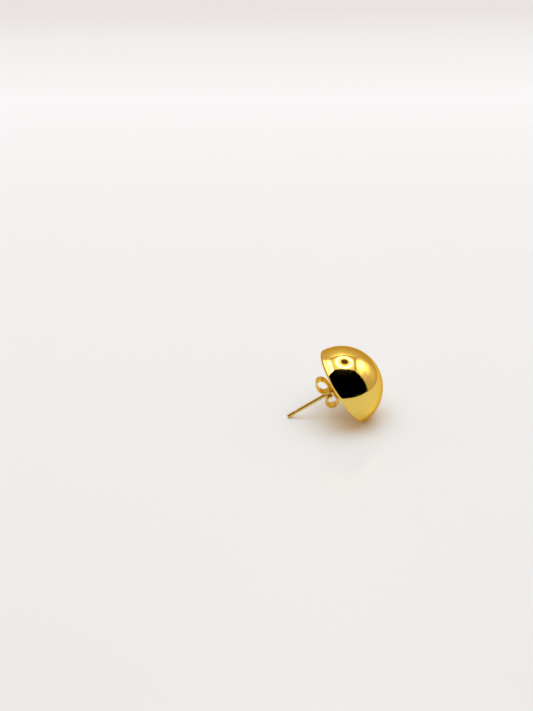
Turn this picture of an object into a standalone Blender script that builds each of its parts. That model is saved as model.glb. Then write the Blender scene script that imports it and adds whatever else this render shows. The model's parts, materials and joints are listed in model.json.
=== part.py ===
"""Half-ball stud earring with a butterfly clutch, as it rests on a table on its rim and its post's tip.

The stud is modelled about its own axis, which is an empty's local Z: the domed front looks along +Z, the
rim lies in the plane Z = 0 and the post runs down to its tip at -Z. Local +X is the side of the rim that
rests on the table. The empty then tilts the whole earring to its resting angle.
"""

from math import asin, atan2, cos, hypot, pi, sin, sqrt

import bmesh
import bpy
from mathutils import Vector

MM = 0.001

# The dome: a hollow half ball, its rim rounded outside and eased inside
DOME_RADIUS = 8.0 * MM
DOME_WALL = 0.6 * MM
RIM_ROUND = 0.5 * MM
RIM_EASE = 0.08 * MM

# The back plate, soldered in behind the rim, with a vent hole above the post
PLATE_RECESS = 0.35 * MM
PLATE_THICKNESS = 0.5 * MM
VENT_RADIUS = 0.4 * MM
VENT_FROM_AXIS = 4.6 * MM

# The post and its solder fillet
POST_RADIUS = 0.35 * MM
POST_REACH = 12.2 * MM
POST_ABOVE_CENTRE = 0.3 * MM
TIP_ROUND = 0.28 * MM
SOLDER_FILLET = 0.4 * MM
NOTCH_FROM_TIP = 2.15 * MM
NOTCH_LENGTH = 0.35 * MM
NOTCH_DEPTH = 0.08 * MM

# The clutch: one strip of sheet, bent into a base plate and two scrolls, the upper one rolled larger
CLUTCH_BEHIND_RIM = 1.7 * MM
SPAN_ABOVE = 3.65 * MM
SPAN_BELOW = 2.9 * MM
HEIGHT_ABOVE = 2.4 * MM
HEIGHT_BELOW = 2.65 * MM
SHEET = 0.28 * MM
STRIP_WIDTH = 1.95 * MM
BASE_WIDTH = 2.9 * MM
JAW_CLEARANCE = 0.06 * MM
HOLE_CLEARANCE = 0.1 * MM
FUNNEL_HEIGHT = 0.32 * MM
FUNNEL_WALL = 0.2 * MM
SCROLL_END_GAP = 0.28 * MM
STRIP_EASE = 0.05 * MM
EASED_CORNER = pi / 3

# How finely the round shapes are divided
DOME_SIDES = 48
ARC_STEPS_DOME = 16
ARC_STEPS_SMALL = 4
POST_SIDES = 16
BASE_STEPS = 5
SCROLL_STEPS = 26

# How far a cutter or a joined piece reaches past the face it goes through
OVERLAP = 0.2 * MM
MERGE = 0.001 * MM

GOLD = (0.83, 0.58, 0.2, 1.0)
CLUTCH_GOLD = (0.8, 0.54, 0.16, 1.0)
POLISHED = 0.06
STAMPED = 0.14


def clear_scene():
    for obj in list(bpy.data.objects):
        bpy.data.objects.remove(obj, do_unlink=True)


def new_collection(name):
    collection = bpy.data.collections.new(name)
    bpy.context.scene.collection.children.link(collection)
    return collection


def metal(name, colour, roughness):
    material = bpy.data.materials.new(name)
    material.use_nodes = True
    shader = material.node_tree.nodes["Principled BSDF"]
    shader.inputs["Base Color"].default_value = colour
    shader.inputs["Metallic"].default_value = 1.0
    shader.inputs["Roughness"].default_value = roughness
    return material


def arc(centre, radius, start, end, steps):
    """Points of an arc in a profile, as (distance from the axis, height), its angles in radians."""
    angles = [start + (end - start) * i / steps for i in range(steps + 1)]
    return [(centre[0] + radius * cos(a), centre[1] + radius * sin(a)) for a in angles]


def mesh_object(name, mesh, collection, axis):
    obj = bpy.data.objects.new(name, mesh)
    collection.objects.link(obj)
    obj.parent = axis
    return obj


def turned(name, profile, sides, collection, axis):
    """A solid turned about local Z from a profile that runs down its outer side."""
    mesh = bpy.data.meshes.new(name)
    points = [(radius, 0.0, height) for radius, height in profile]
    mesh.from_pydata(points, [(i, i + 1) for i in range(len(points) - 1)], [])
    obj = mesh_object(name, mesh, collection, axis)
    # Half a step of turn brings the middle of a flat, not a corner, to the side that rests on the table.
    obj.rotation_euler.z = pi / sides
    screw = obj.modifiers.new("Turn", "SCREW")
    screw.steps = sides
    screw.render_steps = sides
    screw.use_merge_vertices = True
    screw.merge_threshold = MERGE
    return obj


def make_helper(obj):
    obj.hide_render = True
    obj.display_type = "WIRE"


def boolean(obj, other, operation):
    modifier = obj.modifiers.new(f"{operation.title()} {other.name}", "BOOLEAN")
    modifier.operation = operation
    modifier.solver = "EXACT"
    modifier.object = other


def rim_round_centre():
    """Centre of the rim's outer rounding, which touches the ball from inside and the plane of the rim."""
    return sqrt((DOME_RADIUS - RIM_ROUND) ** 2 - RIM_ROUND**2), RIM_ROUND


def dome_profile():
    """The half ball as a solid: down its outside, round the rim, and in across the back plate."""
    centre = rim_round_centre()
    meets_ball = atan2(centre[1], centre[0])
    inside = DOME_RADIUS - DOME_WALL
    outer = arc((0.0, 0.0), DOME_RADIUS, pi / 2, meets_ball, ARC_STEPS_DOME)
    rounding = arc(centre, RIM_ROUND, meets_ball, -pi / 2, ARC_STEPS_SMALL)[1:]
    eased = [(inside + RIM_EASE, 0.0), (inside, RIM_EASE)]
    plate = [(inside, PLATE_RECESS), (0.0, PLATE_RECESS)]
    return outer + rounding + eased + plate


def hollow_profile():
    """The air inside the dome, between the wall and the back plate."""
    radius = DOME_RADIUS - DOME_WALL
    floor = PLATE_RECESS + PLATE_THICKNESS
    meets_plate = asin(floor / radius)
    return arc((0.0, 0.0), radius, pi / 2, meets_plate, ARC_STEPS_DOME) + [(0.0, floor)]


def vent_profile():
    """The vent hole's drill, right through the back plate."""
    top = PLATE_RECESS + PLATE_THICKNESS + OVERLAP
    foot = PLATE_RECESS - OVERLAP
    return [(0.0, top), (VENT_RADIUS, top), (VENT_RADIUS, foot), (0.0, foot)]


def post_profile():
    """The post from inside the back plate to its tip, with the solder fillet and the notch."""
    foot = POST_RADIUS + SOLDER_FILLET
    fillet = arc((foot, PLATE_RECESS - SOLDER_FILLET), SOLDER_FILLET, pi / 2, pi, ARC_STEPS_SMALL)
    notch = -POST_REACH + NOTCH_FROM_TIP
    waist = POST_RADIUS - NOTCH_DEPTH
    shank = [
        (POST_RADIUS, notch + NOTCH_LENGTH / 2 + NOTCH_DEPTH),
        (waist, notch + NOTCH_LENGTH / 2),
        (waist, notch - NOTCH_LENGTH / 2),
        (POST_RADIUS, notch - NOTCH_LENGTH / 2 - NOTCH_DEPTH),
    ]
    tip = arc((POST_RADIUS - TIP_ROUND, TIP_ROUND - POST_REACH), TIP_ROUND, 0.0, -pi / 2, ARC_STEPS_SMALL)
    inside_plate = PLATE_RECESS + PLATE_THICKNESS / 2
    return [(0.0, inside_plate), (foot, inside_plate)] + fillet + shank + tip + [(0.0, -POST_REACH)]


def make_stud(parts, helpers, axis):
    """Dome, back plate and post, soldered together into one solid."""
    stud = turned("dome_stud", dome_profile(), DOME_SIDES, parts, axis)
    hollow = turned("dome_hollow", hollow_profile(), DOME_SIDES, helpers, axis)
    vent = turned("vent_drill", vent_profile(), POST_SIDES, helpers, axis)
    post = turned("post_wire", post_profile(), POST_SIDES, helpers, axis)
    vent.location.x = -VENT_FROM_AXIS
    post.location.x = -POST_ABOVE_CENTRE
    for helper in (hollow, vent, post):
        make_helper(helper)
    boolean(stud, hollow, "DIFFERENCE")
    boolean(stud, vent, "DIFFERENCE")
    boolean(stud, post, "UNION")
    stud.data.materials.append(metal("polished gold", GOLD, POLISHED))
    return stud


def scroll_centreline(span, height):
    """Middle of the sheet along one side, from the post's hole out, round the scroll and back to its end.

    Each point is (distance from the axis, distance behind the ear face, half the strip's width there).
    """
    inner = POST_RADIUS + JAW_CLEARANCE
    centre = (inner + span) / 2, height / 2
    across = (span - inner - SHEET) / 2
    deep = (height - SHEET) / 2
    end_height = SHEET + SCROLL_END_GAP + SHEET / 2
    end_angle = pi + asin((centre[1] - end_height) / deep)
    turn = [-pi / 2 + (end_angle + pi / 2) * i / SCROLL_STEPS for i in range(SCROLL_STEPS + 1)]
    points = []
    for step in range(BASE_STEPS):
        out = centre[0] * step / BASE_STEPS
        share = (1 + cos(pi * step / BASE_STEPS)) / 2
        points.append((out, SHEET / 2, (STRIP_WIDTH + (BASE_WIDTH - STRIP_WIDTH) * share) / 2))
    for angle in turn:
        points.append((centre[0] + across * cos(angle), centre[1] + deep * sin(angle), STRIP_WIDTH / 2))
    return points


def strip_mesh():
    """The clutch's strip as an open sheet through the middle of the metal, smooth shaded."""
    upper = scroll_centreline(SPAN_ABOVE, HEIGHT_ABOVE)
    lower = scroll_centreline(SPAN_BELOW, HEIGHT_BELOW)
    line = [(-out, back, half_width) for out, back, half_width in upper[:0:-1]] + lower
    bm = bmesh.new()
    rows = []
    for out, back, half_width in line:
        height = -CLUTCH_BEHIND_RIM - back
        rows.append([bm.verts.new((out, side * half_width, height)) for side in (-1, 1)])
    for first, second in zip(rows, rows[1:]):
        face = bm.faces.new((first[0], second[0], second[1], first[1]))
        face.smooth = True
    mesh = bpy.data.meshes.new("butterfly_clutch")
    bm.to_mesh(mesh)
    bm.free()
    return mesh


def funnel_profile():
    """The collar that the punch raised round the post's hole, on the scrolls' side of the base plate."""
    outside = POST_RADIUS + HOLE_CLEARANCE + FUNNEL_WALL
    root = outside + FUNNEL_WALL
    top = -CLUTCH_BEHIND_RIM - SHEET / 2
    foot = -CLUTCH_BEHIND_RIM - SHEET - FUNNEL_HEIGHT
    return [(0.0, top), (root, top), (outside, foot), (0.0, foot)]


def hole_profile():
    """The post's hole, flared towards the ear so that the post finds it."""
    bore = POST_RADIUS + HOLE_CLEARANCE
    top = -CLUTCH_BEHIND_RIM + OVERLAP
    foot = -CLUTCH_BEHIND_RIM - SHEET - FUNNEL_HEIGHT - OVERLAP
    flare = bore + SHEET + OVERLAP
    return [(0.0, top), (flare, top), (bore, -CLUTCH_BEHIND_RIM - SHEET), (bore, foot), (0.0, foot)]


def make_clutch(parts, helpers, axis):
    """The clutch's strip, given its thickness, and drilled for the post."""
    clutch = mesh_object("butterfly_clutch", strip_mesh(), parts, axis)
    thicken = clutch.modifiers.new("Sheet", "SOLIDIFY")
    thicken.thickness = SHEET
    thicken.offset = 0.0
    thicken.use_even_offset = True
    ease = clutch.modifiers.new("Ease", "BEVEL")
    ease.width = STRIP_EASE
    ease.segments = 1
    ease.limit_method = "ANGLE"
    ease.angle_limit = EASED_CORNER
    funnel = turned("hole_funnel", funnel_profile(), POST_SIDES, helpers, axis)
    drill = turned("post_hole", hole_profile(), POST_SIDES, helpers, axis)
    for helper in (funnel, drill):
        make_helper(helper)
    for obj in (clutch, funnel, drill):
        obj.location.x = -POST_ABOVE_CENTRE
    boolean(clutch, funnel, "UNION")
    boolean(clutch, drill, "DIFFERENCE")
    clutch.data.materials.append(metal("clutch gold", CLUTCH_GOLD, STAMPED))
    return clutch


def resting_tilt():
    """Angle of the stud's axis above the table when the rim's rounding and the tip's both touch it."""
    rim_out, rim_up = rim_round_centre()
    tip_out, tip_up = POST_RADIUS - TIP_ROUND - POST_ABOVE_CENTRE, TIP_ROUND - POST_REACH
    run, rise = rim_up - tip_up, rim_out - tip_out
    return atan2(rise, run) + asin((RIM_ROUND - TIP_ROUND) / hypot(run, rise))


def seat_on_table(axis, objects):
    """Moves the earring so that it stands on Z = 0 with its box centred on the origin."""
    bpy.context.view_layer.update()
    graph = bpy.context.evaluated_depsgraph_get()
    corners = []
    for obj in objects:
        evaluated = obj.evaluated_get(graph)
        mesh = evaluated.to_mesh()
        corners += [evaluated.matrix_world @ vertex.co for vertex in mesh.vertices]
        evaluated.to_mesh_clear()
    low = Vector([min(corner[i] for corner in corners) for i in range(3)])
    high = Vector([max(corner[i] for corner in corners) for i in range(3)])
    middle = (low + high) / 2
    axis.location -= Vector((middle.x, middle.y, low.z))


def main():
    clear_scene()
    parts = new_collection("dome stud earring")
    helpers = new_collection("dome stud earring cutters")
    axis = bpy.data.objects.new("stud_axis", None)
    parts.objects.link(axis)
    stud = make_stud(parts, helpers, axis)
    clutch = make_clutch(parts, helpers, axis)
    axis.rotation_euler.y = pi / 2 - resting_tilt()
    seat_on_table(axis, (stud, clutch))


main()
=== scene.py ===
"""Half-ball stud earring with its butterfly clutch, resting on a white sheet in a small light box.

The stud's own frame has its Z along the post towards the dome's front, its origin in the middle of the rim
and its X towards the side of the rim that rests on the sheet. All sizes are in metres.
"""

import json
from math import asin, atan2, cos, pi, radians, sin, sqrt

import bmesh
import bpy
from bpy.props import FloatProperty, FloatVectorProperty, PointerProperty
from bpy.types import Operator, Panel, PropertyGroup
from mathutils import Matrix, Vector


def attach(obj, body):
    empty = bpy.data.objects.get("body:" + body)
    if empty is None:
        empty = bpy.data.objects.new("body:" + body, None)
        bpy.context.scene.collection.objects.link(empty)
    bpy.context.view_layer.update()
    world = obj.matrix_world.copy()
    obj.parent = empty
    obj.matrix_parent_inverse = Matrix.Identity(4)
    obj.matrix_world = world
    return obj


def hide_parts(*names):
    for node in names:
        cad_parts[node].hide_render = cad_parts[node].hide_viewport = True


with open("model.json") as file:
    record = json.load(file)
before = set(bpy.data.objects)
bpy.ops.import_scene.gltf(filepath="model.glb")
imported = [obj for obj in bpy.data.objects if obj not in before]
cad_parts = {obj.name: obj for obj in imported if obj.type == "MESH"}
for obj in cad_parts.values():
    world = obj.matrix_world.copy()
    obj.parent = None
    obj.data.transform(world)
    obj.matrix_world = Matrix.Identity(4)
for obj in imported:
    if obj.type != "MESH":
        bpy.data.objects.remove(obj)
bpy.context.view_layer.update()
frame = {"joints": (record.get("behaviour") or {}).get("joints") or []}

MM = 0.001
SLIDE_AXIS = Vector(frame["joints"][0]["axis"])

bl_info = {
    "name": "Half-ball stud earring",
    "version": (1, 0, 0),
    "blender": (4, 5, 0),
    "location": "3D View > Sidebar > Earring",
    "description": "Makes a polished half-ball stud with its butterfly clutch, and the light box round it",
    "category": "Object",
}


def length(name, millimetres, description):
    """A size that the user can change, given here in millimetres and kept in metres."""
    return FloatProperty(
        name=name,
        description=description,
        default=millimetres * MM,
        min=0.0,
        precision=5,
        unit="LENGTH",
    )


def share(name, value, description):
    """A setting from none, 0, to all, 1."""
    return FloatProperty(
        name=name,
        description=description,
        default=value,
        min=0.0,
        max=1.0,
        subtype="FACTOR",
    )


def strength(name, value, description):
    """A brightness or a ratio that can pass 1."""
    return FloatProperty(name=name, description=description, default=value, min=0.0)


def colour(name, value, description):
    """A colour, as linear red, green and blue."""
    return FloatVectorProperty(
        name=name,
        description=description,
        default=value,
        size=3,
        subtype="COLOR",
        min=0.0,
        max=1.0,
    )


def corner(name, place, description="Corner of the light box on the sheet"):
    """A place on the sheet, in metres."""
    return FloatVectorProperty(
        name=name,
        description=description,
        default=place,
        size=2,
        subtype="TRANSLATION",
        unit="LENGTH",
    )


class StudSizes(PropertyGroup):
    """The half ball, its back plate and its post."""

    rim_centre: FloatVectorProperty(
        name="Rim centre",
        description="Middle of the rim's circle when the earring rests on the sheet",
        default=(1.255 * MM, 0.0, 6.517 * MM),
        size=3,
        subtype="TRANSLATION",
        unit="LENGTH",
    )
    dome_radius: length("Dome radius", 8.0, "Outer radius of the half ball")
    dome_wall: length("Dome wall", 0.6, "Thickness of the dome's metal")
    rim_round: length("Rim rounding", 0.5, "Radius of the rim's outer edge")
    rim_ease: length("Rim ease", 0.08, "Radius of the rim's inner edge")
    plate_recess: length("Plate recess", 0.35, "Depth of the back plate inside the rim")
    plate_thickness: length("Plate thickness", 0.5, "Thickness of the back plate")
    plate_seam: length("Plate seam", 0.12, "Radius of the solder run between plate and rim")
    vent_radius: length("Vent radius", 0.4, "Radius of the vent hole")
    vent_from_axis: length("Vent offset", 4.6, "Distance of the vent hole from the dome's axis")
    post_radius: length("Post radius", 0.35, "Radius of the post's wire")
    post_reach: length("Post reach", 12.2, "How far the post's tip stands behind the rim")
    post_above_centre: length("Post offset", 0.3, "How far above the plate's middle the post is soldered")
    tip_round: length("Tip rounding", 0.28, "Radius of the tip's edge")
    solder_fillet: length("Solder fillet", 0.4, "Radius of the solder at the post's foot")
    notch_from_tip: length("Notch from tip", 2.15, "Distance of the notch's middle from the tip")
    notch_length: length("Notch length", 0.35, "Length of the notch's floor")
    notch_depth: length("Notch depth", 0.08, "Depth of the notch")


class ClutchSizes(PropertyGroup):
    """The butterfly clutch: one strip bent into a base plate and two scrolls."""

    behind_rim: length("Behind rim", 1.7, "Distance of the base plate's ear side behind the rim")
    span_above: length("Upper scroll reach", 3.65, "How far the upper scroll reaches from the post's axis")
    span_below: length("Lower scroll reach", 2.9, "How far the lower scroll reaches from the post's axis")
    height_above: length("Upper scroll height", 2.4, "Height of the upper scroll from the ear side")
    height_below: length("Lower scroll height", 2.65, "Height of the lower scroll from the ear side")
    sheet: length("Sheet", 0.28, "Thickness of the strip")
    strip_width: length("Strip width", 1.95, "Width of the strip in the scrolls")
    base_width: length("Base width", 2.9, "Width of the base plate at the hole")
    jaw_clearance: length("Jaw clearance", 0.06, "Gap between a scroll and the post")
    hole_clearance: length("Hole clearance", 0.1, "Gap between the hole and the post")
    funnel_height: length("Funnel height", 0.32, "Height of the collar round the hole")
    funnel_wall: length("Funnel wall", 0.2, "Thickness of the collar's edge")
    scroll_end_gap: length("Scroll end gap", 0.28, "Gap between a scroll's end and the base plate")
    strip_edge: length("Strip edge", 0.06, "Rounding of the strip's edges")


class Finish(PropertyGroup):
    """The colours and the polish of the metal."""

    gold: colour("Gold", (0.88, 0.62, 0.13), "Colour of the dome's plating, seen straight on")
    gold_edge: colour("Gold at the edge", (0.86, 0.62, 0.3), "Colour of the plating where it turns away")
    clutch_gold: colour("Clutch gold", (0.9, 0.64, 0.15), "Colour of the clutch's plating")
    clutch_brown: colour("Clutch brown", (0.5, 0.25, 0.03), "Colour of the clutch's plating where it is thin")
    polish: share("Polish", 0.035, "Roughness of the dome where it is cleanest")
    film: share("Film", 0.1, "Roughness of the dome where fingers have left a film")
    stamped_low: share("Stamped low", 0.12, "Roughness of the clutch on its high places")
    stamped_high: share("Stamped high", 0.3, "Roughness of the clutch in its hollows")
    polish_lines: length("Polish lines", 0.0006, "Depth of the lines left by the polishing wheel")
    dents: length("Dents", 0.0012, "Depth of the dome's slow unevenness")
    clutch_dents: length("Clutch dents", 0.009, "Depth of the clutch's unevenness")


class LightBox(PropertyGroup):
    """The white sheet and the light box round the earring."""

    height: length("Ceiling height", 225.0, "Height of the box's ceiling")
    front_left: corner("Front left", (-0.077, -0.047))
    front_right: corner("Front right", (0.139, -0.045))
    back_right: corner("Back right", (0.120, 0.167))
    back_left: corner("Back left", (-0.085, 0.137))
    ring_outer: length("Ring outer radius", 76.0, "Outer radius of the lamp ring")
    ring_inner: length("Ring inner radius", 55.0, "Inner radius of the lamp ring")
    hole: length("Hole radius", 31.0, "Radius of the opening in the ceiling")
    ring_light: strength("Ring light", 7.0, "Brightness of the lamp ring")
    ring_depth: strength("Ring depth", 1.13, "Depth of the lamp ring as a share of its width")
    ring_middle: corner("Ring middle", (0.0262, 0.0448), "Place on the sheet under the lamp ring's middle")
    hole_colour: colour("Hole", (0.13, 0.06, 0.05), "Colour in the opening in the ceiling")
    ceiling_glow: colour("Ceiling glow", (0.3, 0.24, 0.18), "Colour of the ceiling's cloth at its edges")
    ceiling_light: strength("Ceiling light", 2.2, "Added brightness of the ceiling's cloth at the lamp ring")
    cloth_glow: colour("Cloth glow", (0.6, 0.49, 0.41), "Colour of the walls' cloth where it is dimmest")
    back_light: strength("Back light", 1.5, "Added brightness of the back cloth at its brightest")
    side_light: strength("Side light", 5.0, "Added brightness of the side cloths at their brightest")
    cloth: colour("Cloth", (1.0, 0.98, 0.94), "Colour of the light on the cloth")
    even_light: strength("Light on the sheet", 3.6, "Brightness of the light on the sheet")
    top_colour: colour("Light from above", (0.53, 0.71, 0.86), "Colour of the light from above")
    side_colour: colour("Light from the sides", (0.23, 0.16, 0.1), "Colour of the light in the shadows")
    pale_colour: colour("Surroundings", (0.87, 0.86, 0.85), "Colour of the surroundings behind the sheet")
    sheet_colour: colour("Sheet", (0.8, 0.8, 0.8), "Colour of the white sheet")
    sheet_gloss: share("Sheet gloss", 0.08, "Share of the light that the sheet mirrors softly")


SETTINGS = {
    "stud_sizes": StudSizes,
    "clutch_sizes": ClutchSizes,
    "earring_finish": Finish,
    "light_box": LightBox,
}

DOME_SIDES = 256
DOME_STEPS = 96
EDGE_STEPS = 12
POST_SIDES = 64
BASE_STEPS = 24
SCROLL_STEPS = 120
CORNER_STEPS = 4
SHARP = radians(38)
OVERLAP = 0.1 * MM

# How the plating's effect is drawn: the lines' stretch round the axis, and where in the noise a patch sets in
LINE_STRETCH = (0.03, 0.03, 1.0)
FILM_SETS_IN = (0.42, 0.68)
THINNING_SETS_IN = (0.5, 0.66)


def stud_frame(sizes):
    """The stud's own frame in the row's frame, from the clutch's slide."""
    front = -SLIDE_AXIS.normalized()
    side = Vector((0.0, 1.0, 0.0))
    turn = Matrix((side.cross(front), side, front)).transposed().to_4x4()
    return Matrix.Translation(Vector(sizes.rim_centre)) @ turn


def arc(centre, radius, start, end, steps):
    """Points of an arc in a profile, as (distance from the axis, height)."""
    angles = [start + (end - start) * i / steps for i in range(steps + 1)]
    return [(centre[0] + radius * cos(a), centre[1] + radius * sin(a)) for a in angles]


def turned_mesh(name, profile, sides):
    """A mesh turned about Z, from a profile of (distance from the axis, height) down its outer side."""
    bm = bmesh.new()
    turns = [2 * pi * i / sides for i in range(sides)]
    rings = []
    for radius, height in profile:
        if radius == 0.0:
            rings.append([bm.verts.new((0.0, 0.0, height))])
        else:
            rings.append([bm.verts.new((radius * cos(a), radius * sin(a), height)) for a in turns])
    for upper, lower in zip(rings, rings[1:]):
        for i in range(sides):
            j = (i + 1) % sides
            above = upper[i % len(upper)], upper[j % len(upper)]
            below = lower[i % len(lower)], lower[j % len(lower)]
            corners = above[0], below[0], below[1], above[1]
            bm.faces.new(list(dict.fromkeys(corners)))
    return finished_mesh(bm, name)


def finished_mesh(bm, name):
    """The bmesh as a mesh with smooth faces, its sharp edges kept."""
    mesh = bpy.data.meshes.new(name)
    bm.to_mesh(mesh)
    bm.free()
    mesh.shade_smooth()
    mesh.set_sharp_from_angle(angle=SHARP)
    return mesh


def placed(name, mesh, place):
    """A new object of the mesh, set at its place."""
    obj = bpy.data.objects.new(name, mesh)
    bpy.context.scene.collection.objects.link(obj)
    obj.matrix_world = place
    return obj


def worked(obj, tools):
    """Cuts or joins each (operation, tool object) into obj's mesh, and deletes the tools."""
    for operation, tool in tools:
        modifier = obj.modifiers.new(f"{operation.title()} {tool.name}", "BOOLEAN")
        modifier.operation = operation
        modifier.solver = "EXACT"
        modifier.object = tool
    bpy.context.view_layer.update()
    evaluated = obj.evaluated_get(bpy.context.evaluated_depsgraph_get())
    mesh = bpy.data.meshes.new_from_object(evaluated)
    if not mesh.polygons:
        raise RuntimeError(f"Nothing is left of {obj.name} after it was worked")
    obj.modifiers.clear()
    rough = obj.data
    obj.data = mesh
    mesh.name = obj.name
    bpy.data.meshes.remove(rough)
    for _, tool in tools:
        spent = tool.data
        bpy.data.objects.remove(tool)
        bpy.data.meshes.remove(spent)
    mesh.shade_smooth()
    mesh.set_sharp_from_angle(angle=SHARP)


def fitted(obj, body, node, material):
    """Puts the piece on its body, in its node's place and in its finish, with its place in its vertices."""
    obj.data.transform(obj.matrix_world)
    obj.matrix_world = Matrix.Identity(4)
    obj.data.materials.clear()
    obj.data.materials.append(material)
    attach(obj, body)
    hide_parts(node)


def new_group(name, inputs, outputs):
    """An empty shader node group with its sockets, as (name, kind, default) and (name, kind)."""
    group = bpy.data.node_groups.new(name, "ShaderNodeTree")
    for socket_name, kind, default in inputs:
        socket = group.interface.new_socket(socket_name, in_out="INPUT", socket_type=kind)
        socket.default_value = default
    for socket_name, kind in outputs:
        group.interface.new_socket(socket_name, in_out="OUTPUT", socket_type=kind)
    return group, group.nodes.new("NodeGroupInput"), group.nodes.new("NodeGroupOutput")


def calculated(tree, operation, first, second):
    """A Math node on two values, each a socket or a number."""
    node = tree.nodes.new("ShaderNodeMath")
    node.operation = operation
    for socket, value in zip(node.inputs, (first, second)):
        if isinstance(value, bpy.types.NodeSocket):
            tree.links.new(value, socket)
        else:
            socket.default_value = value
    return node.outputs["Value"]


def noise(tree, vector, scale, detail, roughness=0.5):
    """A noise texture's value at the vector, its scale a socket or a number."""
    node = tree.nodes.new("ShaderNodeTexNoise")
    tree.links.new(vector, node.inputs["Vector"])
    for name, value in (("Scale", scale), ("Detail", detail), ("Roughness", roughness)):
        if isinstance(value, bpy.types.NodeSocket):
            tree.links.new(value, node.inputs[name])
        else:
            node.inputs[name].default_value = value
    return node.outputs["Fac"]


def remapped(tree, value, low, high, to_low, to_high):
    """The value, with low to high carried over smoothly to to_low to to_high."""
    node = tree.nodes.new("ShaderNodeMapRange")
    node.interpolation_type = "SMOOTHSTEP"
    for name, item in (
        ("Value", value),
        ("From Min", low),
        ("From Max", high),
        ("To Min", to_low),
        ("To Max", to_high),
    ):
        if isinstance(item, bpy.types.NodeSocket):
            tree.links.new(item, node.inputs[name])
        else:
            node.inputs[name].default_value = item
    return node.outputs["Result"]


def handled_metal_group(place_of_axis):
    """Worn plating: polishing lines round the post's axis, slow unevenness and a film in patches."""
    group, given, out = new_group(
        "handled metal",
        [
            ("Colour", "NodeSocketColor", (1.0, 1.0, 1.0, 1.0)),
            ("Thin Colour", "NodeSocketColor", (1.0, 1.0, 1.0, 1.0)),
            ("Thin Places", "NodeSocketFloat", 0.0),
            ("Clean", "NodeSocketFloat", 0.04),
            ("Film", "NodeSocketFloat", 0.1),
            ("Patch Scale", "NodeSocketFloat", 400.0),
            ("Line Scale", "NodeSocketFloat", 20000.0),
            ("Line Depth", "NodeSocketFloat", 0.0),
            ("Dent Scale", "NodeSocketFloat", 500.0),
            ("Dent Depth", "NodeSocketFloat", 0.0),
        ],
        [
            ("Colour", "NodeSocketColor"),
            ("Roughness", "NodeSocketFloat"),
            ("Height", "NodeSocketFloat"),
        ],
    )
    to_axis = group.nodes.new("ShaderNodeMapping")
    to_axis.vector_type = "TEXTURE"
    to_axis.inputs["Location"].default_value = place_of_axis.to_translation()
    to_axis.inputs["Rotation"].default_value = place_of_axis.to_euler()
    group.links.new(group.nodes.new("ShaderNodeTexCoord").outputs["Object"], to_axis.inputs["Vector"])
    place = to_axis.outputs["Vector"]
    drawn_out = group.nodes.new("ShaderNodeVectorMath")
    drawn_out.operation = "MULTIPLY"
    drawn_out.inputs[1].default_value = LINE_STRETCH
    group.links.new(place, drawn_out.inputs[0])
    lines = noise(group, drawn_out.outputs["Vector"], given.outputs["Line Scale"], 3.0, 0.6)
    dents = noise(group, place, given.outputs["Dent Scale"], 2.0)
    patches = noise(group, place, given.outputs["Patch Scale"], 4.0, 0.6)
    height = calculated(
        group,
        "ADD",
        calculated(group, "MULTIPLY", lines, given.outputs["Line Depth"]),
        calculated(group, "MULTIPLY", dents, given.outputs["Dent Depth"]),
    )
    rough = remapped(group, patches, *FILM_SETS_IN, given.outputs["Clean"], given.outputs["Film"])
    thinned = remapped(group, patches, *THINNING_SETS_IN, 0.0, 1.0)
    thin = calculated(group, "MULTIPLY", thinned, given.outputs["Thin Places"])
    mix = group.nodes.new("ShaderNodeMix")
    mix.data_type = "RGBA"
    group.links.new(thin, mix.inputs["Factor"])
    group.links.new(given.outputs["Colour"], mix.inputs["A"])
    group.links.new(given.outputs["Thin Colour"], mix.inputs["B"])
    group.links.new(mix.outputs["Result"], out.inputs["Colour"])
    group.links.new(rough, out.inputs["Roughness"])
    group.links.new(height, out.inputs["Height"])
    return group


def gold_material(name, edge, values):
    """Plated metal: the handled-metal effect with this finish's own values."""
    found = bpy.data.materials.get(name)
    if found:
        return found
    place = stud_frame(bpy.context.scene.stud_sizes)
    group = bpy.data.node_groups.get("handled metal") or handled_metal_group(place)
    material = bpy.data.materials.new(name)
    material.use_nodes = True
    tree = material.node_tree
    shader = tree.nodes["Principled BSDF"]
    shader.inputs["Metallic"].default_value = 1.0
    shader.inputs["Specular Tint"].default_value = (*edge, 1.0)
    effect = tree.nodes.new("ShaderNodeGroup")
    effect.node_tree = group
    for socket_name, value in values.items():
        effect.inputs[socket_name].default_value = value
    bump = tree.nodes.new("ShaderNodeBump")
    bump.inputs["Distance"].default_value = 1.0
    tree.links.new(effect.outputs["Colour"], shader.inputs["Base Color"])
    tree.links.new(effect.outputs["Roughness"], shader.inputs["Roughness"])
    tree.links.new(effect.outputs["Height"], bump.inputs["Height"])
    tree.links.new(bump.outputs["Normal"], shader.inputs["Normal"])
    return material


def polished_gold(finish):
    return gold_material(
        "polished gold",
        finish.gold_edge,
        {
            "Colour": (*finish.gold, 1.0),
            "Thin Colour": (*finish.clutch_gold, 1.0),
            "Thin Places": 0.15,
            "Clean": finish.polish,
            "Film": finish.film,
            "Patch Scale": 300.0,
            "Line Scale": 30000.0,
            "Line Depth": finish.polish_lines,
            "Dent Scale": 350.0,
            "Dent Depth": finish.dents,
        },
    )


def stamped_gold(finish):
    return gold_material(
        "stamped gold",
        finish.gold_edge,
        {
            "Colour": (*finish.clutch_gold, 1.0),
            "Thin Colour": (*finish.clutch_brown, 1.0),
            "Thin Places": 0.7,
            "Clean": finish.stamped_low,
            "Film": finish.stamped_high,
            "Patch Scale": 1100.0,
            "Line Scale": 20000.0,
            "Line Depth": finish.polish_lines,
            "Dent Scale": 1300.0,
            "Dent Depth": finish.clutch_dents,
        },
    )


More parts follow.
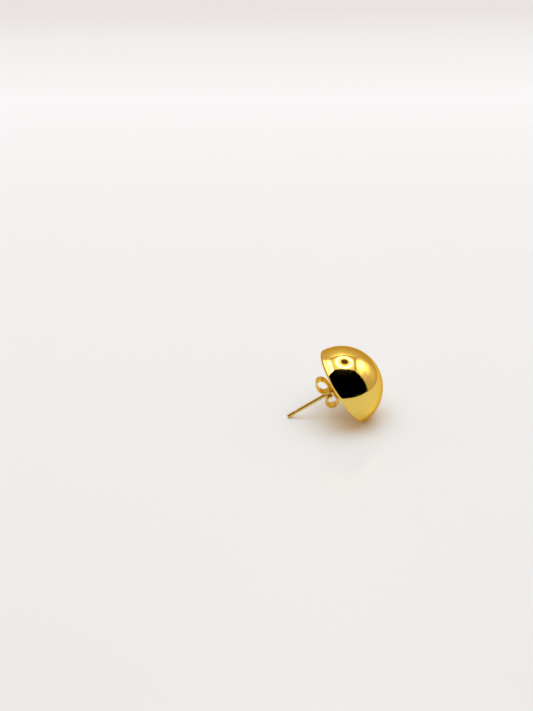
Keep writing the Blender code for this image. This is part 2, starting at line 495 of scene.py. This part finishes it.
def rim_round_centre(sizes):
    """Centre of the rim's outer rounding, which touches the ball from inside and the plane of the rim."""
    inner = sizes.dome_radius - sizes.rim_round
    return sqrt(inner**2 - sizes.rim_round**2), sizes.rim_round


def dome_profile(sizes):
    """The dome's wall: down its outside, round the rim, and along the hollow to the pole."""
    centre = rim_round_centre(sizes)
    meets_ball = atan2(centre[1], centre[0])
    inside = sizes.dome_radius - sizes.dome_wall
    plate_top = sizes.plate_recess + sizes.plate_thickness
    outer = arc((0.0, 0.0), sizes.dome_radius, pi / 2, meets_ball, DOME_STEPS)
    rounding = arc(centre, sizes.rim_round, meets_ball, -pi / 2, EDGE_STEPS)[1:]
    ease = arc((inside + sizes.rim_ease, sizes.rim_ease), sizes.rim_ease, -pi / 2, -pi, EDGE_STEPS // 2)
    hollow = arc((0.0, 0.0), inside, asin(plate_top / inside), pi / 2, DOME_STEPS // 2)
    profile = outer + rounding + ease + hollow
    profile[0] = (0.0, sizes.dome_radius)
    profile[-1] = (0.0, inside)
    return profile


def plate_profile(sizes):
    """The back plate, with the run of solder that joins it to the rim's inside."""
    seam = sizes.plate_seam
    edge = sizes.dome_radius - sizes.dome_wall
    top = sizes.plate_recess + sizes.plate_thickness
    run = arc((edge - seam, sizes.plate_recess - seam), seam, 0.0, pi / 2, EDGE_STEPS)
    return [(0.0, top), (edge, top)] + run + [(0.0, sizes.plate_recess)]


def vent_profile(sizes):
    """The vent hole's drill, with a burr's width of flare on the outer side."""
    flare = sizes.rim_ease / 2
    top = sizes.plate_recess + sizes.plate_thickness + OVERLAP
    return [
        (0.0, top),
        (sizes.vent_radius, top),
        (sizes.vent_radius, sizes.plate_recess + flare),
        (sizes.vent_radius + flare, sizes.plate_recess),
        (sizes.vent_radius + flare, sizes.plate_recess - OVERLAP),
        (0.0, sizes.plate_recess - OVERLAP),
    ]


def post_profile(sizes):
    """The post from inside the back plate to its tip, with the solder at its foot and the notch."""
    radius = sizes.post_radius
    foot = radius + sizes.solder_fillet
    inside_plate = sizes.plate_recess + OVERLAP
    fillet_centre = foot, sizes.plate_recess - sizes.solder_fillet
    fillet = arc(fillet_centre, sizes.solder_fillet, pi / 2, pi, EDGE_STEPS)
    notch = sizes.notch_from_tip - sizes.post_reach
    waist = radius - sizes.notch_depth
    half = sizes.notch_length / 2
    shank = [
        (radius, notch + half + sizes.notch_depth),
        (waist, notch + half),
        (waist, notch - half),
        (radius, notch - half - sizes.notch_depth),
    ]
    tip_centre = radius - sizes.tip_round, sizes.tip_round - sizes.post_reach
    tip = arc(tip_centre, sizes.tip_round, 0.0, -pi / 2, EDGE_STEPS)
    return [(0.0, inside_plate), (foot, inside_plate)] + fillet + shank + tip + [(0.0, -sizes.post_reach)]


def scroll_line(stud, clutch, span, height):
    """Middle of the sheet along one side, from the hole out, round the scroll and back to its end.

    Each point is (distance from the axis, distance behind the ear side, half the strip's width there).
    """
    inner = stud.post_radius + clutch.jaw_clearance
    centre = (inner + span) / 2, height / 2
    across = (span - inner - clutch.sheet) / 2
    deep = (height - clutch.sheet) / 2
    end_height = clutch.sheet * 1.5 + clutch.scroll_end_gap
    end_angle = pi + asin((centre[1] - end_height) / deep)
    turn = [-pi / 2 + (end_angle + pi / 2) * i / SCROLL_STEPS for i in range(SCROLL_STEPS + 1)]
    points = []
    for step in range(BASE_STEPS):
        wide = (1 + cos(pi * step / BASE_STEPS)) / 2
        width = clutch.strip_width + (clutch.base_width - clutch.strip_width) * wide
        points.append((centre[0] * step / BASE_STEPS, clutch.sheet / 2, width / 2))
    for angle in turn:
        place = centre[0] + across * cos(angle), centre[1] + deep * sin(angle)
        points.append((*place, clutch.strip_width / 2))
    return points


def strip_section(half_thickness, half_width, edge):
    """The strip's cross-section as (through the sheet, across the strip), its corners rounded."""
    points = []
    for side_through, side_across, start in ((1, 1, 0.0), (-1, 1, pi / 2), (-1, -1, pi), (1, -1, 1.5 * pi)):
        centre = side_through * (half_thickness - edge), side_across * (half_width - edge)
        for step in range(CORNER_STEPS + 1):
            angle = start + pi / 2 * step / CORNER_STEPS
            points.append((centre[0] + edge * cos(angle), centre[1] + edge * sin(angle)))
    return points


def strip_mesh(stud, clutch):
    """The clutch's bent strip, with rounded edges, as one closed mesh."""
    upper = scroll_line(stud, clutch, clutch.span_above, clutch.height_above)
    lower = scroll_line(stud, clutch, clutch.span_below, clutch.height_below)
    line = [(-out, back, half) for out, back, half in upper[:0:-1]] + lower
    places = [Vector((out, 0.0, -clutch.behind_rim - back)) for out, back, _ in line]
    bm = bmesh.new()
    rings = []
    for i, place in enumerate(places):
        along = (places[min(i + 1, len(places) - 1)] - places[max(i - 1, 0)]).normalized()
        through = Vector((0.0, 1.0, 0.0)).cross(along)
        section = strip_section(clutch.sheet / 2, line[i][2], clutch.strip_edge)
        rings.append([bm.verts.new(place + through * u + Vector((0.0, v, 0.0))) for u, v in section])
    for first, second in zip(rings, rings[1:]):
        for i in range(len(first)):
            j = (i + 1) % len(first)
            bm.faces.new((first[i], first[j], second[j], second[i]))
    bm.faces.new(rings[0][::-1])
    bm.faces.new(rings[-1])
    bmesh.ops.recalc_face_normals(bm, faces=bm.faces)
    return finished_mesh(bm, "clutch_strip")


def funnel_profile(stud, clutch):
    """The collar that the punch raised round the post's hole."""
    outside = stud.post_radius + clutch.hole_clearance + clutch.funnel_wall
    top = -clutch.behind_rim - clutch.sheet / 2
    root = -clutch.behind_rim - clutch.sheet
    foot = root - clutch.funnel_height
    flare = outside + clutch.funnel_wall
    flank = arc((flare, root - clutch.funnel_wall), clutch.funnel_wall, pi / 2, pi, EDGE_STEPS)
    return [(0.0, top), (flare, top)] + flank + [(outside, foot), (0.0, foot)]


def hole_profile(stud, clutch):
    """The post's hole, flared towards the ear."""
    bore = stud.post_radius + clutch.hole_clearance
    root = -clutch.behind_rim - clutch.sheet
    foot = root - clutch.funnel_height - OVERLAP
    top = OVERLAP - clutch.behind_rim
    mouth = bore + clutch.sheet
    flare = arc((mouth, root), clutch.sheet, pi / 2, pi, EDGE_STEPS)
    return [(0.0, top), (mouth, top)] + flare + [(bore, foot), (0.0, foot)]


class EARRING_OT_half_ball(Operator):
    """Makes the hollow half ball with its rounded rim"""

    bl_idname = "earring.half_ball"
    bl_label = "Half Ball"

    def execute(self, context):
        sizes = context.scene.stud_sizes
        mesh = turned_mesh("half_ball", dome_profile(sizes), DOME_SIDES)
        ball = placed("half_ball", mesh, stud_frame(sizes))
        fitted(ball, "stud", "dome_stud", polished_gold(context.scene.earring_finish))
        return {"FINISHED"}


class EARRING_OT_back_plate(Operator):
    """Makes the back plate with its vent hole and the solder run along the rim"""

    bl_idname = "earring.back_plate"
    bl_label = "Back Plate"

    def execute(self, context):
        sizes = context.scene.stud_sizes
        place = stud_frame(sizes)
        plate = placed("back_plate", turned_mesh("back_plate", plate_profile(sizes), DOME_SIDES), place)
        above = Matrix.Translation((-sizes.vent_from_axis, 0.0, 0.0))
        drill_mesh = turned_mesh("vent_drill", vent_profile(sizes), POST_SIDES)
        drill = placed("vent_drill", drill_mesh, place @ above)
        worked(plate, [("DIFFERENCE", drill)])
        fitted(plate, "stud", "dome_stud", polished_gold(context.scene.earring_finish))
        return {"FINISHED"}


class EARRING_OT_post(Operator):
    """Makes the post with the solder at its foot, the notch and the rounded tip"""

    bl_idname = "earring.post"
    bl_label = "Post"

    def execute(self, context):
        sizes = context.scene.stud_sizes
        above = Matrix.Translation((-sizes.post_above_centre, 0.0, 0.0))
        mesh = turned_mesh("post", post_profile(sizes), POST_SIDES)
        post = placed("post", mesh, stud_frame(sizes) @ above)
        fitted(post, "stud", "dome_stud", polished_gold(context.scene.earring_finish))
        return {"FINISHED"}


class EARRING_OT_clutch(Operator):
    """Makes the butterfly clutch from one bent strip, with the collared hole for the post"""

    bl_idname = "earring.clutch"
    bl_label = "Butterfly Clutch"

    def execute(self, context):
        stud = context.scene.stud_sizes
        clutch = context.scene.clutch_sizes
        place = stud_frame(stud) @ Matrix.Translation((-stud.post_above_centre, 0.0, 0.0))
        strip = placed("clutch_strip", strip_mesh(stud, clutch), place)
        funnel = placed("funnel", turned_mesh("funnel", funnel_profile(stud, clutch), POST_SIDES), place)
        drill = placed("hole_drill", turned_mesh("hole_drill", hole_profile(stud, clutch), POST_SIDES), place)
        worked(strip, [("UNION", funnel), ("DIFFERENCE", drill)])
        gold = stamped_gold(context.scene.earring_finish)
        fitted(strip, "clutch", "butterfly_clutch", gold)
        return {"FINISHED"}


# How the light falls on each cloth, as (place, share): rows up it, columns along it from the first corner
EVEN = ((0.0, 1.0), (1.0, 1.0))
BACK_ROWS = ((0.0, 0.0), (0.3, 0.05), (0.55, 0.15), (0.75, 0.35), (0.88, 1.0), (0.95, 0.6), (1.0, 0.1))
BACK_COLUMNS = ((0.0, 0.3), (0.25, 0.8), (0.45, 1.0), (0.65, 0.6), (1.0, 0.3))
RIGHT_ROWS = ((0.0, 0.0), (0.2, 0.05), (0.4, 0.25), (0.6, 1.0), (0.78, 0.8), (0.92, 0.1), (1.0, 0.0))
RIGHT_COLUMNS = ((0.0, 0.1), (0.2, 0.25), (0.43, 1.0), (0.6, 0.8), (0.78, 0.1), (1.0, 0.0))
LEFT_ROWS = (
    (0.42, 0.0),
    (0.46, 0.6),
    (0.57, 0.6),
    (0.6, 0.05),
    (0.62, 0.05),
    (0.65, 1.0),
    (0.9, 1.0),
    (0.96, 0.1),
)
LEFT_COLUMNS = ((0.0, 1.0), (0.64, 1.0), (0.72, 0.1), (1.0, 0.0))
CEILING_ROWS = ((0.0, 0.3), (0.05, 0.85), (0.3, 1.0), (0.7, 1.0), (0.95, 0.25), (0.97, 0.0))
CEILING_COLUMNS = ((0.0, 0.1), (0.05, 0.4), (0.2, 0.6), (0.45, 0.5), (0.8, 0.5), (0.94, 0.42), (0.98, 0.0))
LAMP_BELOW_CEILING = 2 * MM

# The sheet, and the painted light and shade on it from front to back as (place, colour): the sheet's colour
# made lighter or darker, and pinker at the back
SHEET_FRONT = -0.11
SHEET_PAINTED_SPAN = 0.34
SHEET_PAINTED_LIGHT = (
    (0.02, (0.93, 0.92, 0.91)),
    (0.13, (0.965, 0.955, 0.945)),
    (0.34, (1.0, 0.99, 0.98)),
    (0.62, (1.03, 1.03, 1.03)),
    (0.8, (1.1, 1.1, 1.11)),
    (0.91, (1.02, 1.01, 1.0)),
    (0.97, (0.94, 0.89, 0.89)),
)
SHEET_BACK = 0.35
SHEET_HALF_WIDTH = 0.25
LOWER_SHEET_DEPTH = 0.1 * MM
LOWER_SHEET_REACH = 1.5
SHEET_POLISH = 0.2
TOOTH_DEPTH = 0.002 * MM
TOOTH_SCALE = 1500.0


def cloth_material(name, glow, light_colour, light, rows, columns):
    """Lit cloth: an even glow, and a light that follows its rows and columns of (place, share)."""
    material = bpy.data.materials.new(name)
    material.use_nodes = True
    tree = material.node_tree
    tree.nodes.clear()
    place = tree.nodes.new("ShaderNodeTexCoord").outputs["UV"]
    parts = tree.nodes.new("ShaderNodeSeparateXYZ")
    tree.links.new(place, parts.inputs["Vector"])
    shares = []
    for output, stops in (("X", columns), ("Y", rows)):
        ramp = tree.nodes.new("ShaderNodeValToRGB")
        ramp.color_ramp.interpolation = "EASE"
        elements = ramp.color_ramp.elements
        while len(elements) < len(stops):
            elements.new(0.5)
        for element, (position, value) in zip(elements, stops):
            element.position = position
            element.color = (value, value, value, 1.0)
        tree.links.new(parts.outputs[output], ramp.inputs["Fac"])
        shares.append(ramp.outputs["Color"])
    even = tree.nodes.new("ShaderNodeEmission")
    even.inputs["Color"].default_value = (*glow, 1.0)
    lit = tree.nodes.new("ShaderNodeEmission")
    lit.inputs["Color"].default_value = (*light_colour, 1.0)
    brightness = calculated(tree, "MULTIPLY", calculated(tree, "MULTIPLY", *shares), light)
    tree.links.new(brightness, lit.inputs["Strength"])
    both = tree.nodes.new("ShaderNodeAddShader")
    tree.links.new(even.outputs["Emission"], both.inputs[0])
    tree.links.new(lit.outputs["Emission"], both.inputs[1])
    out = tree.nodes.new("ShaderNodeOutputMaterial")
    tree.links.new(both.outputs["Shader"], out.inputs["Surface"])
    return material


def flat_light(name, colour_of_light, light):
    """Light of one colour and brightness all over."""
    return cloth_material(name, (0.0, 0.0, 0.0), colour_of_light, light, EVEN, EVEN)


def panel_object(name, corners, material):
    """A flat panel of the light box from its corners: near, far, far above and near above."""
    bm = bmesh.new()
    face = bm.faces.new([bm.verts.new(place) for place in corners])
    layer = bm.loops.layers.uv.new("panel")
    for loop, place in zip(face.loops, ((0.0, 0.0), (1.0, 0.0), (1.0, 1.0), (0.0, 1.0))):
        loop[layer].uv = place
    return staged(placed(name, finished_mesh(bm, name), Matrix.Identity(4)), material)


def ring_object(name, inner, outer, place, material):
    """A flat ring or, with no inner radius, a disc."""
    profile = [(outer, 0.0), (inner, 0.0)]
    return staged(placed(name, turned_mesh(name, profile, POST_SIDES), place), material)


def staged(obj, material):
    """A part of the light box, which only the metal and the sheet's gloss show."""
    obj.data.materials.append(material)
    obj.visible_camera = False
    obj.visible_diffuse = False
    obj.visible_shadow = False
    return obj


def make_light_box(box):
    """The box's cloth walls and ceiling and the lamp ring, seen only in the metal and by their light."""
    corners = box.front_left, box.front_right, box.back_right, box.back_left
    plan = [Vector((*place, 0.0)) for place in corners]
    front_left, front_right, back_right, back_left = plan
    up = Vector((0.0, 0.0, box.height))
    for name, light, rows, columns, near, far in (
        ("back_cloth", box.back_light, BACK_ROWS, BACK_COLUMNS, back_left, back_right),
        ("right_cloth", box.side_light, RIGHT_ROWS, RIGHT_COLUMNS, front_right, back_right),
        ("left_cloth", box.side_light, LEFT_ROWS, LEFT_COLUMNS, front_left, back_left),
    ):
        cloth = cloth_material(name, box.cloth_glow, box.cloth, light, rows, columns)
        panel_object(name, (near, far, far + up, near + up), cloth)
    ceiling = cloth_material(
        "ceiling cloth", box.ceiling_glow, box.cloth, box.ceiling_light, CEILING_ROWS, CEILING_COLUMNS
    )
    panel_object("ceiling_cloth", [place + up for place in plan], ceiling)
    far_wall = flat_light("far wall", box.cloth_glow, 1.0)
    foot = Vector((SHEET_HALF_WIDTH, SHEET_BACK, 0.0)), Vector((-SHEET_HALF_WIDTH, SHEET_BACK, 0.0))
    panel_object("far_wall", (foot[0], foot[1], foot[1] + up, foot[0] + up), far_wall)
    ring_place = Matrix.Translation((*box.ring_middle, box.height - LAMP_BELOW_CEILING))
    under = ring_place @ Matrix.Diagonal((1.0, box.ring_depth, 1.0, 1.0))
    lamp = flat_light("lamp ring", (1.0, 1.0, 1.0), box.ring_light)
    ring_object("lamp_ring", box.ring_inner, box.ring_outer, under, lamp)
    dark = flat_light("ceiling hole", box.hole_colour, 1.0)
    ring_object("ceiling_hole", 0.0, box.hole, under, dark)


def sheet_material(box):
    """White paper with a faint tooth, a soft gloss, and painted light and shade that make its colour lighter
    and darker from front to back.
    """
    material = bpy.data.materials.new("white sheet")
    material.use_nodes = True
    tree = material.node_tree
    tree.nodes.clear()
    place = tree.nodes.new("ShaderNodeTexCoord").outputs["Object"]
    parts = tree.nodes.new("ShaderNodeSeparateXYZ")
    tree.links.new(place, parts.inputs["Vector"])
    from_front = calculated(tree, "SUBTRACT", parts.outputs["Y"], SHEET_FRONT)
    depth = calculated(tree, "DIVIDE", from_front, SHEET_PAINTED_SPAN)
    # Painted light and shade: a ramp makes the sheet's colour lighter or darker from front to back, and
    # pinker at the back
    shade = tree.nodes.new("ShaderNodeValToRGB")
    elements = shade.color_ramp.elements
    while len(elements) < len(SHEET_PAINTED_LIGHT):
        elements.new(0.5)
    for element, (position, value) in zip(elements, SHEET_PAINTED_LIGHT):
        element.position = position
        element.color = (*[part * own for part, own in zip(value, box.sheet_colour)], 1.0)
    tree.links.new(depth, shade.inputs["Fac"])
    bump = tree.nodes.new("ShaderNodeBump")
    bump.inputs["Distance"].default_value = TOOTH_DEPTH
    tree.links.new(noise(tree, place, TOOTH_SCALE, 3.0), bump.inputs["Height"])
    paper = tree.nodes.new("ShaderNodeBsdfDiffuse")
    gloss = tree.nodes.new("ShaderNodeBsdfGlossy")
    gloss.inputs["Roughness"].default_value = SHEET_POLISH
    for shader in (paper, gloss):
        tree.links.new(bump.outputs["Normal"], shader.inputs["Normal"])
    tree.links.new(shade.outputs["Color"], paper.inputs["Color"])
    mix = tree.nodes.new("ShaderNodeMixShader")
    mix.inputs["Fac"].default_value = box.sheet_gloss
    tree.links.new(paper.outputs["BSDF"], mix.inputs[1])
    tree.links.new(gloss.outputs["BSDF"], mix.inputs[2])
    out = tree.nodes.new("ShaderNodeOutputMaterial")
    tree.links.new(mix.outputs["Shader"], out.inputs["Surface"])
    return material


def make_sheet(box):
    """The white sheet, and a wider one just under it, which the metal doesn't show."""
    material = sheet_material(box)
    for name, depth, half_width, front, back in (
        ("white_sheet", 0.0, SHEET_HALF_WIDTH, SHEET_FRONT, SHEET_BACK),
        ("lower_sheet", LOWER_SHEET_DEPTH, LOWER_SHEET_REACH, -LOWER_SHEET_REACH, LOWER_SHEET_REACH),
    ):
        bm = bmesh.new()
        corners = ((-half_width, front), (half_width, front), (half_width, back), (-half_width, back))
        bm.faces.new([bm.verts.new((x, y, -depth)) for x, y in corners])
        sheet = placed(name, finished_mesh(bm, name), Matrix.Identity(4))
        sheet.data.materials.append(material)
        sheet.visible_glossy = depth == 0.0


# The camera: where it looks from, and where in the picture the middle of the rim falls
IMAGE_WIDTH = 533
IMAGE_HEIGHT = 711
VIEW_AZIMUTH = radians(-1.6)
VIEW_ELEVATION = radians(27.1)
VIEW_DISTANCE = 0.6
METRES_PER_PIXEL = 0.1926 * MM
RIM_AT_PIXEL = (341.6, 387.1)
SENSOR = 36.0
NEAREST = 0.01

# How high in the surroundings the light from above sets in, from level, 0, to straight up, 1
LIGHT_FROM_ABOVE = (0.7, 1.0)


def make_camera(sizes):
    """The camera looks down on the earring, with the rim's middle at its own place in the picture."""
    az, el = VIEW_AZIMUTH, VIEW_ELEVATION
    back = Vector((sin(az) * cos(el), -cos(az) * cos(el), sin(el)))
    right = Vector((cos(az), sin(az), 0.0))
    up = Vector((-sin(az) * sin(el), cos(az) * sin(el), cos(el)))
    aside = (RIM_AT_PIXEL[0] - IMAGE_WIDTH / 2) * METRES_PER_PIXEL
    above = (IMAGE_HEIGHT / 2 - RIM_AT_PIXEL[1]) * METRES_PER_PIXEL
    target = Vector(sizes.rim_centre) - right * aside - up * above
    data = bpy.data.cameras.new("camera")
    data.sensor_fit = "VERTICAL"
    data.sensor_height = SENSOR
    data.lens = SENSOR * VIEW_DISTANCE / (IMAGE_HEIGHT * METRES_PER_PIXEL)
    data.clip_start = NEAREST
    camera = bpy.data.objects.new("camera", data)
    bpy.context.scene.collection.objects.link(camera)
    turn = Matrix((right, up, back)).transposed().to_4x4()
    camera.matrix_world = Matrix.Translation(target + back * VIEW_DISTANCE) @ turn
    bpy.context.scene.camera = camera


def make_surroundings(box):
    """Even light on the sheet from all round; in the metal, it is dark outside the box."""
    world = bpy.data.worlds.new("surroundings")
    bpy.context.scene.world = world
    world.use_nodes = True
    tree = world.node_tree
    light = tree.nodes["Background"]
    parts = tree.nodes.new("ShaderNodeSeparateXYZ")
    tree.links.new(tree.nodes.new("ShaderNodeTexCoord").outputs["Generated"], parts.inputs["Vector"])
    mix = tree.nodes.new("ShaderNodeMix")
    mix.data_type = "RGBA"
    mix.inputs["A"].default_value = (*box.side_colour, 1.0)
    mix.inputs["B"].default_value = (*box.top_colour, 1.0)
    tree.links.new(remapped(tree, parts.outputs["Z"], *LIGHT_FROM_ABOVE, 0.0, 1.0), mix.inputs["Factor"])
    tree.links.new(mix.outputs["Result"], light.inputs["Color"])
    light.inputs["Strength"].default_value = box.even_light
    pale = tree.nodes.new("ShaderNodeBackground")
    pale.inputs["Color"].default_value = (*box.pale_colour, 1.0)
    seen = tree.nodes.new("ShaderNodeMixShader")
    tree.links.new(tree.nodes.new("ShaderNodeLightPath").outputs["Is Camera Ray"], seen.inputs["Fac"])
    tree.links.new(light.outputs["Background"], seen.inputs[1])
    tree.links.new(pale.outputs["Background"], seen.inputs[2])
    tree.links.new(seen.outputs["Shader"], tree.nodes["World Output"].inputs["Surface"])
    world.cycles_visibility.glossy = False


class EARRING_OT_stage(Operator):
    """Makes the white sheet, the light box, the camera and the dark room outside the box"""

    bl_idname = "earring.stage"
    bl_label = "Sheet, Light Box and Camera"

    def execute(self, context):
        box = context.scene.light_box
        make_sheet(box)
        make_light_box(box)
        make_surroundings(box)
        make_camera(context.scene.stud_sizes)
        context.scene.view_settings.view_transform = "Standard"
        return {"FINISHED"}


OPERATORS = (
    EARRING_OT_half_ball,
    EARRING_OT_back_plate,
    EARRING_OT_post,
    EARRING_OT_clutch,
    EARRING_OT_stage,
)


class EARRING_PT_pieces(Panel):
    """Lists the pieces and their sizes"""

    bl_idname = "EARRING_PT_pieces"
    bl_label = "Half-ball stud earring"
    bl_space_type = "VIEW_3D"
    bl_region_type = "UI"
    bl_category = "Earring"

    def draw(self, context):
        for operator in OPERATORS:
            self.layout.operator(operator.bl_idname)
        for name in SETTINGS:
            settings = getattr(context.scene, name)
            box = self.layout.box()
            box.label(text=name.replace("_", " ").capitalize())
            for key in settings.__annotations__:
                box.prop(settings, key)


def register():
    for kind in (*SETTINGS.values(), *OPERATORS, EARRING_PT_pieces):
        bpy.utils.register_class(kind)
    for name, kind in SETTINGS.items():
        setattr(bpy.types.Scene, name, PointerProperty(type=kind))


def unregister():
    for name in SETTINGS:
        delattr(bpy.types.Scene, name)
    for kind in (EARRING_PT_pieces, *reversed(OPERATORS), *SETTINGS.values()):
        bpy.utils.unregister_class(kind)


def main():
    register()
    bpy.ops.earring.half_ball()
    bpy.ops.earring.back_plate()
    bpy.ops.earring.post()
    bpy.ops.earring.clutch()
    bpy.ops.earring.stage()


if __name__ == "__main__":
    main()
